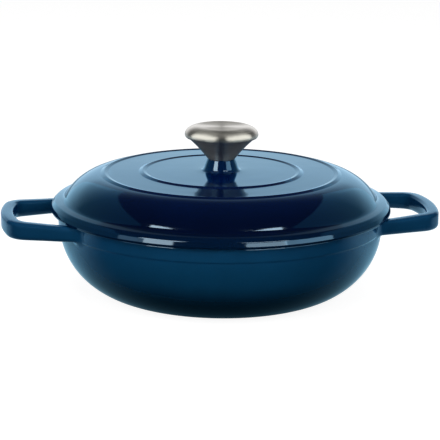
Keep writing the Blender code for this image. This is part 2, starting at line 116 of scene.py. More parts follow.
def arc_centre(start: Point, end: Point, radius: float, side: int) -> Vector:
    """Finds the centre of a circle through two points.

    Args:
        start: First point.
        end: Second point.
        radius: The circle's radius.
        side: +1 for a centre to the left of the way from start to end, -1 to the right.

    Returns:
        The centre.
    """
    chord = Vector(end) - Vector(start)
    across = Vector((-chord.y, chord.x)).normalized()
    offset = side * across * math.sqrt(radius ** 2 - (chord.length / 2) ** 2)
    return (Vector(start) + Vector(end)) / 2 + offset


def arc_between(start: Point, end: Point, radius: float, side: int, steps: int) -> list[Point]:
    """Samples the short arc between two points, whose centre lies on the given side.

    Args:
        start: First point.
        end: Last point.
        radius: The circle's radius.
        side: +1 for a centre to the left of the way, -1 to the right.
        steps: Number of chords.

    Returns:
        The points, both ends included.
    """
    centre = arc_centre(start, end, radius, side)
    first = math.atan2(start[1] - centre.y, start[0] - centre.x)
    last = math.atan2(end[1] - centre.y, end[0] - centre.x)
    turn = (last - first + math.pi) % math.tau - math.pi
    angles = [first + turn * step / steps for step in range(steps + 1)]
    spokes = [(radius * math.cos(angle), radius * math.sin(angle)) for angle in angles]
    return [(centre.x + across, centre.y + up) for across, up in spokes]


def rounded(corners: Sequence[Triple], steps: int = 5) -> list[Point]:
    """Rounds the inner corners of a line.

    Args:
        corners: Radius, height and fillet radius of each corner.
        steps: Chords of each fillet.

    Returns:
        The line's points.
    """
    points = [corners[0][:2]]
    for before, corner, after in zip(corners, corners[1:], corners[2:]):
        place = Vector(corner[:2])
        back = (Vector(before[:2]) - place).normalized()
        onward = (Vector(after[:2]) - place).normalized()
        if corner[2] == 0.0 or back.angle(onward) > STRAIGHT:
            points.append(corner[:2])
            continue
        half = back.angle(onward) / 2
        reach = corner[2] / math.tan(half)
        side = 1 if back.x * onward.y - back.y * onward.x < 0 else -1
        start, end = place + back * reach, place + onward * reach
        points += arc_between(tuple(start), tuple(end), corner[2], side, steps)
    points.append(corners[-1][:2])
    return points


def heading(angle: float) -> Vector:
    """Unit vector in a plane, at an angle in radians from its first axis."""
    return Vector((math.cos(angle), math.sin(angle)))


def bearing(azimuth: float, elevation: float = 0.0) -> Vector:
    """Unit vector at degrees to the right of the front seen from above, and above the horizon."""
    turn, rise = math.radians(azimuth), math.radians(elevation)
    return Vector((math.sin(turn) * math.cos(rise), -math.cos(turn) * math.cos(rise), math.sin(rise)))


def link(name: str, data: bpy.types.ID) -> Piece:
    """Puts a new object into the scene.

    Args:
        name: Name of the object.
        data: Its mesh, lamp or camera.

    Returns:
        The object.
    """
    piece = bpy.data.objects.new(name, data)
    bpy.context.scene.collection.objects.link(piece)
    return piece


def deselect_all() -> None:
    """Leaves object mode clean, so that the next operator acts on the new piece alone."""
    if bpy.context.object and bpy.context.object.mode != "OBJECT":
        bpy.ops.object.mode_set(mode="OBJECT")
    bpy.ops.object.select_all(action="DESELECT")


def take(piece: Piece) -> None:
    """Makes a piece the only selected and active one.

    Args:
        piece: The piece.
    """
    deselect_all()
    piece.select_set(True)
    bpy.context.view_layer.objects.active = piece


def smooth(piece: Piece, angle: float = 40.0) -> None:
    """Shades a piece smoothly up to an edge angle in degrees."""
    take(piece)
    bpy.ops.object.shade_smooth_by_angle(angle=math.radians(angle))


def paint(piece: Piece, materials: Sequence[Material]) -> None:
    """Gives a piece its material slots.

    Args:
        piece: The piece.
        materials: Its materials, the first of them all over.
    """
    piece.data.materials.clear()
    for material in materials:
        piece.data.materials.append(material)


@dataclass
class Lathe:
    """Turns profiles about Z by extruding a point along them and spinning the line."""

    segments: int
    merge: float = MERGE_DISTANCE

    def turn(self, name: str, profile: Sequence[Point], materials: Sequence[Material],
             closed: bool = False) -> Piece:
        """Models one turned solid, painted and shaded smoothly.

        Args:
            name: Name of the piece.
            profile: Radius and height of each point.
            materials: Its materials, the first of them all over.
            closed: Whether the profile is a loop clear of the axis.

        Returns:
            The piece.
        """
        deselect_all()
        bpy.ops.mesh.primitive_plane_add(size=0.001, location=(profile[0][0], 0.0, profile[0][1]))
        piece = bpy.context.object
        piece.name = piece.data.name = name
        bpy.ops.object.transform_apply(location=True, rotation=True, scale=True)
        bpy.ops.object.mode_set(mode="EDIT")
        bpy.ops.mesh.select_mode(type="VERT")
        bpy.ops.mesh.select_all(action="SELECT")
        bpy.ops.mesh.merge(type="CENTER")
        for here, there in zip(profile, profile[1:]):
            move = (there[0] - here[0], 0.0, there[1] - here[1])
            bpy.ops.mesh.extrude_vertices_move(TRANSFORM_OT_translate={"value": move})
        if closed:
            self._close_line(piece)
        bpy.ops.mesh.select_all(action="SELECT")
        bpy.ops.mesh.spin(steps=self.segments, angle=math.tau, center=(0.0, 0.0, 0.0),
                          axis=(0.0, 0.0, 1.0))
        bpy.ops.mesh.select_all(action="SELECT")
        bpy.ops.mesh.remove_doubles(threshold=self.merge)
        bpy.ops.mesh.select_all(action="SELECT")
        bpy.ops.mesh.normals_make_consistent(inside=False)
        bpy.ops.object.mode_set(mode="OBJECT")
        paint(piece, materials)
        smooth(piece)
        return piece

    def _close_line(self, piece: Piece) -> None:
        """Joins the two ends of the line with an edge.

        Args:
            piece: The piece that the line is in.
        """
        mesh = bmesh.from_edit_mesh(piece.data)
        for vert in mesh.verts:
            vert.select_set(len(vert.link_edges) == 1)
        mesh.select_flush_mode()
        bmesh.update_edit_mesh(piece.data)
        bpy.ops.mesh.edge_face_add()


@dataclass(frozen=True)
class Grain:
    """Noise over a piece.

    Attributes:
        scale: How many of its features go into a metre.
        detail: How many finer layers it has.
        span: Which of its values are told apart.
        to: What the span is mapped to.
    """

    scale: float
    detail: float = 2.0
    span: Point = (0.3, 0.7)
    to: Point = (0.0, 1.0)


class Graph:
    """Adds and joins the nodes of one node tree."""

    def __init__(self, tree: bpy.types.NodeTree, shader: str, place: str) -> None:
        """Takes hold of a tree.

        Args:
            tree: The node tree.
            shader: Name of its shader node.
            place: Which texture coordinate its patterns lie in.
        """
        self.tree = tree
        self.shader = tree.nodes[shader]
        self.place = self.add("ShaderNodeTexCoord").outputs[place]

    @classmethod
    def of_material(cls, name: str) -> tuple["Graph", Material]:
        """Starts a material with a Principled shader.

        Args:
            name: Name of the material.

        Returns:
            The graph, and the material that it belongs to.
        """
        material = bpy.data.materials.new(name)
        material.use_nodes = True
        return cls(material.node_tree, "Principled BSDF", "Object"), material

    def add(self, kind: str, **settings: object) -> bpy.types.Node:
        """Adds a node.

        Args:
            kind: Its type.
            **settings: Its properties.

        Returns:
            The node.
        """
        node = self.tree.nodes.new(kind)
        for key, value in settings.items():
            setattr(node, key, value)
        return node

    def put(self, node: bpy.types.Node, values: dict[str | int, object]) -> bpy.types.Node:
        """Fills a node's inputs.

        Args:
            node: The node.
            values: For each input a socket to link, or else its value.

        Returns:
            The same node.
        """
        for key, value in values.items():
            socket = node.inputs[key]
            if isinstance(value, Socket):
                self.tree.links.new(value, socket)
            else:
                socket.default_value = (*value, 1.0) if socket.type == "RGBA" else value
        return node

    def dress(self, values: dict[str | int, object]) -> None:
        """Fills the shader's own inputs."""
        self.put(self.shader, values)

    def maths(self, operation: str, *values: object) -> Socket:
        """Returns the result of a Math node."""
        node = self.add("ShaderNodeMath", operation=operation)
        return self.put(node, dict(enumerate(values))).outputs[0]

    def vector(self, operation: str, result: str, *values: object) -> Socket:
        """Returns a result of a Vector Math node."""
        node = self.add("ShaderNodeVectorMath", operation=operation)
        return self.put(node, dict(enumerate(values))).outputs[result]

    def part(self, vector: Socket, axis: str) -> Socket:
        """Returns one component of a vector."""
        return self.put(self.add("ShaderNodeSeparateXYZ"), {0: vector}).outputs[axis]

    def radius(self) -> Socket:
        """Returns the distance from the Z axis."""
        flat = self.vector("MULTIPLY", "Vector", self.place, (1.0, 1.0, 0.0))
        return self.vector("LENGTH", "Value", flat)

    def stretch(self, value: Socket, span: Point, to: Point = (0.0, 1.0)) -> Socket:
        """Returns a value mapped from a span to a new range, and clamped there."""
        ends = {"From Min": span[0], "From Max": span[1], "To Min": to[0], "To Max": to[1]}
        return self.put(self.add("ShaderNodeMapRange"), {"Value": value, **ends}).outputs["Result"]

    def noise(self, grain: Grain, place: Socket | None = None) -> Socket:
        """Makes noise.

        Args:
            grain: Its scale and detail.
            place: Where to read it, if not at the piece's own coordinates.

        Returns:
            A value about 0.5.
        """
        place = self.place if place is None else place
        values = {"Vector": place, "Scale": grain.scale, "Detail": grain.detail}
        return self.put(self.add("ShaderNodeTexNoise"), values).outputs["Fac"]

    def cloud(self, grain: Grain) -> Socket:
        """Returns noise over the piece, mapped to the grain's range."""
        return self.stretch(self.noise(grain), grain.span, grain.to)

    def ramp(self, value: Socket, stops: Stops) -> Socket:
        """Turns a value into a colour.

        Args:
            value: The value, from 0 to 1.
            stops: Place and colour of each stop.

        Returns:
            The colour.
        """
        node = self.put(self.add("ShaderNodeValToRGB"), {"Fac": value})
        ramp = node.color_ramp
        ramp.interpolation = "EASE"
        while len(ramp.elements) < len(stops):
            ramp.elements.new(0.5)
        for element, (position, colour) in zip(ramp.elements, stops):
            element.position = position
            element.color = (*colour, 1.0)
        return node.outputs["Color"]

    def blend(self, share: Socket, first: Socket | Colour, second: Socket | Colour) -> Socket:
        """Returns a mix of two colours, with a share of the second."""
        mix = self.add("ShaderNodeMix", data_type="RGBA")
        return self.put(mix, {0: share, 6: first, 7: second}).outputs[2]

    def bump(self, height: Socket, relief: Point, normal: Socket | None = None) -> Socket:
        """Bends the light as a fine relief does.

        Args:
            height: Height of the relief.
            relief: Its strength, and its depth in metres.
            normal: A coarser relief that it lies on.

        Returns:
            The bent normal.
        """
        values = {"Height": height, "Strength": relief[0], "Distance": relief[1]}
        if normal is not None:
            values["Normal"] = normal
        return self.put(self.add("ShaderNodeBump"), values).outputs["Normal"]


@dataclass(frozen=True)
class GlossEnamel:
    """Coloured glass fired on cast iron: deep gloss, a colour graded along the piece, painted shade that
    can darken it on the handles, and a faintly uneven skin.
    """

    name: str
    along: ShadeAlong
    reach: Point
    stops: Stops
    handle_dulling: float = 1.0
    # Painted shade: colour factor on the handles, darker than the same enamel on the wall
    handle_painted_shade: float = 1.0
    handle_start: Point = (0.1478, 0.1560)
    tint: Colour = (0.35, 0.62, 1.00)
    glass_ior: float = 1.52
    glaze: Colour = (0.66, 0.885, 1.00)
    glaze_ior: float = 1.05
    glaze_roughness: float = 0.05
    roughness: Grain = Grain(60.0, to=(0.048, 0.078))
    cloud: Grain = Grain(22.0, 3.0, to=(0.90, 1.10))
    fleck: Grain = Grain(900.0, 1.0, (0.35, 0.65), (0.97, 1.03))
    wave: Grain = Grain(34.0, 1.0)
    wave_relief: Point = (0.10, 0.001)
    peel: Grain = Grain(420.0)
    peel_relief: Point = (0.05, 0.0002)

    def make(self) -> Material:
        """Builds the material.

        Returns:
            The material.
        """
        graph, material = Graph.of_material(self.name)
        height, radius = graph.part(graph.place, "Z"), graph.radius()
        measure = height if self.along is ShadeAlong.HEIGHT else radius
        base = graph.ramp(graph.stretch(measure, self.reach), self.stops)
        mottle = graph.maths("MULTIPLY", graph.cloud(self.cloud), graph.cloud(self.fleck))
        # Painted shade: beyond handle_start the colour is darkened towards the handle factor
        shade = graph.stretch(radius, self.handle_start, (1.0, self.handle_painted_shade))
        colour = graph.vector("SCALE", "Vector", base)
        graph.put(colour.node, {"Scale": graph.maths("MULTIPLY", mottle, shade)})
        dull = graph.stretch(radius, self.handle_start, (1.0, self.handle_dulling))
        gloss = graph.maths("MULTIPLY", graph.cloud(self.roughness), dull)
        slow = graph.bump(graph.noise(self.wave), self.wave_relief)
        skin = graph.bump(graph.noise(self.peel), self.peel_relief, slow)
        graph.dress({"Base Color": colour, "Roughness": gloss, "Normal": skin, "IOR": self.glass_ior,
                     "Specular Tint": self.tint, "Coat Weight": 1.0,
                     "Coat Roughness": self.glaze_roughness, "Coat IOR": self.glaze_ior,
                     "Coat Tint": self.glaze, "Coat Normal": skin})
        return material


@dataclass(frozen=True)
class CreamEnamel:
    """Pale cooking surface with sparse fine specks."""

    name: str
    colour: Colour = (0.78, 0.72, 0.60)
    shade: Colour = (0.741, 0.684, 0.570)
    speck: Colour = (0.42, 0.35, 0.26)
    speck_scale: float = 260.0
    speck_edge: Point = (0.10, 0.20)
    speck_strewing: Grain = Grain(90.0, 1.0, (0.52, 0.60), (0.0, 0.55))
    cloud: Grain = Grain(26.0, 3.0)
    peel: Grain = Grain(300.0)
    peel_relief: Point = (0.08, 0.0002)
    roughness: float = 0.16
    ior: float = 1.5

    def make(self) -> Material:
        """Builds the material.

        Returns:
            The material.
        """
        graph, material = Graph.of_material(self.name)
        cells = graph.add("ShaderNodeTexVoronoi")
        graph.put(cells, {"Vector": graph.place, "Scale": self.speck_scale})
        dots = graph.stretch(cells.outputs["Distance"], self.speck_edge, (1.0, 0.0))
        share = graph.maths("MULTIPLY", dots, graph.cloud(self.speck_strewing))
        soft = graph.blend(graph.cloud(self.cloud), self.shade, self.colour)
        colour = graph.blend(share, soft, self.speck)
        skin = graph.bump(graph.noise(self.peel), self.peel_relief)
        graph.dress({"Base Color": colour, "Roughness": self.roughness, "Normal": skin, "IOR": self.ior})
        return material


@dataclass(frozen=True)
class MattSeat:
    """Thin dark ground coat on the seats and under the base, rubbed a little in noise-driven patches."""

    name: str
    colour: Colour = (0.018, 0.020, 0.024)
    rubbed: Colour = (0.070, 0.072, 0.076)
    rubbing: Grain = Grain(80.0, 4.0, (0.5, 0.75))
    grain: Grain = Grain(500.0, 3.0, to=(0.50, 0.68))
    relief: Point = (0.25, 0.0002)

    def make(self) -> Material:
        """Builds the material.

        Returns:
            The material.
        """
        graph, material = Graph.of_material(self.name)
        grain = graph.noise(self.grain)
        colour = graph.blend(graph.cloud(self.rubbing), self.colour, self.rubbed)
        rough = graph.stretch(grain, self.grain.span, self.grain.to)
        graph.dress({"Base Color": colour, "Roughness": rough, "Normal": graph.bump(grain, self.relief)})
        return material


@dataclass(frozen=True)
class SpunSteel:
    """Stainless steel brushed round its axis, so that highlights run up and down it."""

    name: str
    colour: Colour = (0.555, 0.545, 0.510)
    shade: Colour = (0.44, 0.430, 0.400)
    shade_span: Point = (0.35, 0.62)
    pull: float = 0.88
    across: float = 0.25
    lines: float = 5200.0
    turn: Triple = (2.6, 2.6, 0.0)
    broad_lines: Triple = (1.0, 1.0, 0.12)
    shares: Point = (0.6, 0.4)
    streak: Grain = Grain(1.0, to=(0.2805, 0.396))
    relief: Point = (0.10, 0.0001)

    def make(self) -> Material:
        """Builds the material.

        Returns:
            The material.
        """
        graph, material = Graph.of_material(self.name)
        height = graph.part(graph.place, "Z")
        flat = graph.vector("MULTIPLY", "Vector", graph.place, (1.0, 1.0, 0.0))
        around = graph.vector("NORMALIZE", "Vector", flat)
        travel = graph.maths("MULTIPLY", graph.maths("ADD", graph.radius(), height), self.lines)
        rise = graph.put(graph.add("ShaderNodeCombineXYZ"), {"Z": travel}).outputs[0]
        track = graph.vector("ADD", "Vector", graph.vector("MULTIPLY", "Vector", around, self.turn), rise)
        broad_track = graph.vector("MULTIPLY", "Vector", track, self.broad_lines)
        fine = graph.maths("MULTIPLY", graph.noise(self.streak, track), self.shares[0])
        broad = graph.maths("MULTIPLY", graph.noise(self.streak, broad_track), self.shares[1])
        streak = graph.maths("ADD", fine, broad)
        colour = graph.blend(graph.stretch(streak, self.shade_span), self.shade, self.colour)
        rough = graph.stretch(streak, self.streak.span, self.streak.to)
        tangent = graph.add("ShaderNodeTangent", direction_type="RADIAL", axis="Z").outputs[0]
        graph.dress({"Base Color": colour, "Roughness": rough, "Metallic": 1.0, "Anisotropic": self.pull,
                     "Anisotropic Rotation": self.across, "Tangent": tangent,
                     "Normal": graph.bump(streak, self.relief)})
        return material


@dataclass(frozen=True)
class PlatedSteel:
    """Zinc plate on the small fastenings, slightly clouded."""

    name: str
    colour: Colour = (0.60, 0.61, 0.62)
    dull: Colour = (0.42, 0.43, 0.45)
    dull_span: Point = (0.35, 0.70)
    cloud: Grain = Grain(380.0, 4.0, to=(0.22, 0.42))
    relief: Point = (0.15, 0.0001)

    def make(self) -> Material:
        """Builds the material.

        Returns:
            The material.
        """
        graph, material = Graph.of_material(self.name)
        cloud = graph.noise(self.cloud)
        colour = graph.blend(graph.stretch(cloud, self.dull_span), self.colour, self.dull)
        rough = graph.stretch(cloud, self.cloud.span, self.cloud.to)
        graph.dress({"Base Color": colour, "Roughness": rough, "Metallic": 1.0,
                     "Normal": graph.bump(cloud, self.relief)})
        return material


def paint_ring(piece: Piece, index: int, reach: Point, rise: Point, facing: float = 0.0) -> None:
    """Gives the faces of a ring-shaped region one of the piece's materials.

    Args:
        piece: The piece.
        index: Which of its materials.
        reach: Least and greatest distance from the axis.
        rise: Least and greatest height.
        facing: +1 for faces that look away from the axis, -1 towards it, 0 for both.
    """
    for face in piece.data.polygons:
        radius = math.hypot(face.center.x, face.center.y)
        outward = face.normal.x * face.center.x + face.normal.y * face.center.y
        inside = reach[0] <= radius <= reach[1] and rise[0] <= face.center.z <= rise[1]
        if inside and outward * facing >= 0.0:
            face.material_index = index


@dataclass
class PanCasting:
    """Body of the pan: rim band, rounded bowl, flat base and the hollow inside."""

    rim_height: float = 0.0768
    rim_radius: float = 0.1465
    rim_width: float = 0.0044
    rim_edge: float = 0.0010
    rim_outer_edge: float = 0.0020
    band_height: float = 0.0124
    band_draft: float = 0.0003
    band_step: float = 0.0009
    band_edge: float = 0.0018
    band_run: float = 1.75
    wall: float = 0.0040
    floor: float = 0.0050
    bowl_reach: float = 0.0651
    bowl_fullness: float = 1.95
    bowl_turn: float = 82.0
    foot_edge: float = 0.0012
    mouth_blend: float = 0.0040
    inner_blend: float = 0.0120
    floor_paint: Point = (0.8, 1.2)
    seat_paint: float = 0.8
    skin: float = 0.0002
    segments: int = 256

    @property
    def mouth(self) -> float:
        """Distance from the axis to the rim's inner face."""
        return self.rim_radius - self.rim_width

    @property
    def bowl_top(self) -> float:
        """Height at which the bowl starts under the band."""
        return self.rim_height - self.band_height - self.band_step / 2

    @property
    def bowl_centre(self) -> float:
        """Distance from the axis at which the bowl's oval is centred."""
        return self.rim_radius - self.band_draft - self.band_step - self.bowl_reach

    def bowl(self, reach: float, depth: float, turn: float, steps: int) -> list[Point]:
        """Samples a quarter of a full oval.

        Args:
            reach: Half width of the oval.
            depth: Half height of the oval.
            turn: Angle to which it is followed, in degrees.
            steps: Number of chords.

        Returns:
            The points, from the upright wall down to the floor.
        """
        power = 2 / self.bowl_fullness
        points = []
        for step in range(steps + 1):
            angle = math.radians(turn) * step / steps
            radius = self.bowl_centre + reach * max(math.cos(angle), 0.0) ** power
            points.append((radius, self.bowl_top - depth * math.sin(angle) ** power))
        return points

    def outer_line(self) -> list[Point]:
        """Draws the outer profile.

        Returns:
            Its points, from the rim's top down to the axis under the base.
        """
        depth = self.bowl_top / math.sin(math.radians(self.bowl_turn)) ** (2 / self.bowl_fullness)
        foot = self.rim_height - self.band_height
        bowl = self.bowl(self.bowl_reach, depth, self.bowl_turn, steps=48)
        corners = [(self.rim_radius - self.rim_width / 2, self.rim_height, 0.0),
                   (self.rim_radius, self.rim_height, self.rim_outer_edge),
                   (self.rim_radius - self.band_draft, foot, self.band_edge),
                   (bowl[0][0], foot - self.band_step * self.band_run, self.band_edge),
                   (bowl[2][0], bowl[2][1], 0.0)]
        points = rounded(corners)[:-1] + bowl[2:]
        base = [(*points[-2], 0.0), (*points[-1], self.foot_edge), (0.0, 0.0, 0.0)]
        return points[:-1] + rounded(base)[1:]

    def inner_line(self) -> list[Point]:
        """Draws the inner profile.

        Returns:
            Its points, from the axis on the floor up to the middle of the rim.
        """
        bowl = self.bowl(self.bowl_reach - self.wall, self.bowl_top - self.floor, 90.0, steps=40)
        corners = [(*bowl[2], 0.0), (bowl[0][0], self.bowl_top + self.mouth_blend, self.inner_blend),
                   (self.mouth, self.rim_height - self.mouth_blend, self.mouth_blend),
                   (self.mouth, self.rim_height, self.rim_edge),
                   (self.mouth + self.rim_width / 2, self.rim_height, 0.0)]
        return [(0.0, self.floor)] + list(reversed(bowl[3:])) + rounded(corners)

    def wall_radius(self, height: float) -> float:
        """Reads the outer wall's distance from the axis.

        Args:
            height: Height at which it is read.

        Returns:
            The distance.
        """
        line = self.outer_line()
        for upper, lower in zip(line, line[1:]):
            if lower[1] <= height <= upper[1] and upper[1] > lower[1]:
                share = (height - lower[1]) / (upper[1] - lower[1])
                return lower[0] + (upper[0] - lower[0]) * share
        return self.rim_radius

    def build(self, finishes: "Finishes") -> Piece:
        """Models and paints the body.

        Args:
            finishes: The materials.

        Returns:
            The piece.
        """
        profile = (self.outer_line() + self.inner_line())[:-1]
        materials = (finishes.pan, finishes.cream, finishes.seat)
        piece = Lathe(self.segments).turn("pan_casting", profile, materials)
        low, high = (self.floor * share for share in self.floor_paint)
        seat = (self.rim_height - self.skin, self.rim_height + self.skin)
        seat_edge = self.rim_radius - self.rim_outer_edge * self.seat_paint
        paint_ring(piece, 1, (0.0, self.mouth + self.rim_edge / 2), (low, seat[0]), -1.0)
        paint_ring(piece, 1, (0.0, self.bowl_centre), (low, high))
        paint_ring(piece, 2, (self.mouth, seat_edge), seat)
        paint_ring(piece, 2, (0.0, self.bowl_centre + self.wall), (-self.skin, self.skin))
        return piece


@dataclass
class LoopHandle:
    """One loop handle: a tapering flat bar bent round in plan, which flows into the wall."""

    pan: PanCasting
    length: float = 0.0509
    root_half_width: float = 0.0592
    taper: float = 17.0
    corner: float = 0.0220
    end_radius: float = 0.1470
    width: float = 0.0115
    root_drop: float = 0.0005
    root_thickness: float = 0.0135
    end_rise: float = 0.0022
    end_thickness: float = 0.0167
    edge: float = 0.0026
    lower_edge: float = 0.0042
    grip_edge: float = 0.0062
    crown: float = 0.0005
    flat_steps: int = 4
    fillet: float = 0.0050
    root_run: float = 0.0080
    sink: float = 0.0030
    edge_steps: int = 6
    fillet_steps: int = 12
    straight_steps: int = 6
    corner_steps: int = 18
    end_steps: int = 14

    def __post_init__(self) -> None:
        """Lays out the centre line in plan."""
        slant = math.radians(self.taper)
        half = self.width / 2
        self.along = heading(-slant)
        self.across = Vector((math.sin(slant), math.cos(slant)))
        self.side = Vector((self.pan.rim_radius, self.root_half_width)) - self.across * half
        self.bend = self.corner - half
        self.bow = self.end_radius - half
        self.bow_centre = Vector((self.pan.rim_radius + self.length - self.end_radius, 0.0))
        offset = self.side - self.across * self.bend - self.bow_centre
        run = offset.dot(self.along)
        travel = -run + math.sqrt(run ** 2 - offset.length_squared + (self.bow - self.bend) ** 2)
        self.bend_centre = self.bow_centre + offset + self.along * travel
        towards = self.bend_centre - self.bow_centre
        self.side_angle = math.pi / 2 - slant
        self.end_angle = math.atan2(towards.y, towards.x)

    def stations(self) -> list[tuple[Vector, Vector]]:
        """Samples the centre line between the roots.

        Returns:
            Points and outward directions, from the first side's straight run to the second's.
        """
        half = []
        bend_start = self.bend_centre + self.across * self.bend
        for step in range(1, self.straight_steps):
            share = step / self.straight_steps
            start = self.side + self.along * self.root_run
            half.append((start.lerp(bend_start, share), self.across))
        for step in range(self.corner_steps):
            angle = self.side_angle + (self.end_angle - self.side_angle) * step / self.corner_steps
            outward = heading(angle)
            half.append((self.bend_centre + outward * self.bend, outward))
        for step in range(self.end_steps):
            angle = self.end_angle * (1 - step / self.end_steps)
            outward = heading(angle)
            half.append((self.bow_centre + outward * self.bow, outward))
        middle = Vector((1.0, 0.0))
        mirror = [(Vector((place.x, -place.y)), Vector((out.x, -out.y))) for place, out in reversed(half)]
        return half + [(self.bow_centre + middle * self.bow, middle)] + mirror

    def heights(self, radius: float) -> Point:
        """Finds the top and bottom of the bar.

        Args:
            radius: Distance along X.

        Returns:
            Their heights.
        """
        share = (radius - self.pan.rim_radius) / self.length
        top = self.pan.rim_height - self.root_drop + (self.root_drop + self.end_rise) * share
        return top, top - self.root_thickness - (self.end_thickness - self.root_thickness) * share

    def section(self, centre: Vector, outward: Vector, swell: float) -> list[Vector]:
        """Rounded section of the bar.

        Args:
            centre: Point on the centre line, in plan.
            outward: Direction across the bar, in plan.
            swell: Growth sideways and downwards, for the fillet at the wall.

        Returns:
            The section's points.
        """
        top, bottom = self.heights(centre.x)
        half_width, half_height = self.width / 2, (top - bottom) / 2
        corners = ((1, 1, self.edge), (-1, 1, self.edge), (-1, -1, self.grip_edge),
                   (1, -1, self.lower_edge))
        outline = []
        for quarter, (side, upright, rounding) in enumerate(corners):
            for step in range(self.edge_steps + 1):
                angle = math.pi / 2 * (quarter + step / self.edge_steps)
                facing = heading(angle)
                corner = Vector((side * (half_width - rounding), upright * (half_height - rounding)))
                outline.append((corner + facing * rounding, facing))
        points = []
        for index, (place, facing) in enumerate(outline):
            onward = outline[(index + 1) % len(outline)][0]
            steps = self.flat_steps if (index + 1) % (self.edge_steps + 1) == 0 else 1
            for step in range(steps):
                spot = place.lerp(onward, step / steps)
                rise = spot.y + swell * min(facing.y, 0.0)
                if facing.y > 0.0:
                    rise -= self.crown * (spot.x / half_width) ** 2
                plan = centre + outward * (spot.x + swell * facing.x)
                points.append(Vector((plan.x, plan.y, (top + bottom) / 2 + rise)))
        return points

    def root(self, swell: float, distance: float) -> list[Vector]:
        """Lays a section on the pan's wall.

        Args:
            swell: Growth sideways and downwards, for the fillet at the wall.
            distance: How far outside the wall it lies.

        Returns:
            The section's points.
        """
        points = []
        for point in self.section(self.side, self.across, swell):
            plan = Vector((point.x, point.y))
            inward = -self.along
            run = plan.dot(inward)
            target = self.pan.wall_radius(point.z)
            travel = -run - math.sqrt(run ** 2 - plan.length_squared + target ** 2)
            plan += inward * (travel - distance)
            points.append(Vector((plan.x, plan.y, point.z)))
        return points

    def sections(self) -> list[list[Vector]]:
        """Rows up all sections.

        Returns:
            The sections, from inside the wall at one root round to the other.
        """
        roots = [self.root(self.fillet, -self.sink)]
        for step in range(self.fillet_steps + 1):
            angle = math.pi / 2 * step / self.fillet_steps
            swell, distance = (self.fillet * (1 - rise) for rise in (math.sin(angle), math.cos(angle)))
            roots.append(self.root(swell, distance))
        loop = [self.section(centre, outward, 0.0) for centre, outward in self.stations()]
        far = [[Vector((point.x, -point.y, point.z)) for point in ring] for ring in reversed(roots)]
        return roots + loop + far

    def build(self, name: str, turn: float, finishes: "Finishes") -> Piece:
        """Lofts the loop through its sections, which no single operator can flare onto a round wall.

        Args:
            name: Name of the piece.
            turn: Angle about Z in degrees.
            finishes: The materials.

        Returns:
            The piece.
        """
        shape = bmesh.new()
        rows = [[shape.verts.new(point) for point in ring] for ring in self.sections()]
        count = len(rows[0])
        for row, after in zip(rows, rows[1:]):
            for index in range(count):
                onward = (index + 1) % count
                shape.faces.new((row[index], row[onward], after[onward], after[index]))
        shape.faces.new(rows[0])
        shape.faces.new(rows[-1])
        bmesh.ops.remove_doubles(shape, verts=shape.verts, dist=MERGE_DISTANCE)
        bmesh.ops.recalc_face_normals(shape, faces=shape.faces)
        bmesh.ops.rotate(shape, cent=(0.0, 0.0, 0.0), verts=shape.verts,
                         matrix=Matrix.Rotation(math.radians(turn), 3, "Z"))
        mesh = bpy.data.meshes.new(name)
        shape.to_mesh(mesh)
        shape.free()
        piece = link(name, mesh)
        paint(piece, (finishes.pan,))
        smooth(piece, angle=50.0)
        return piece


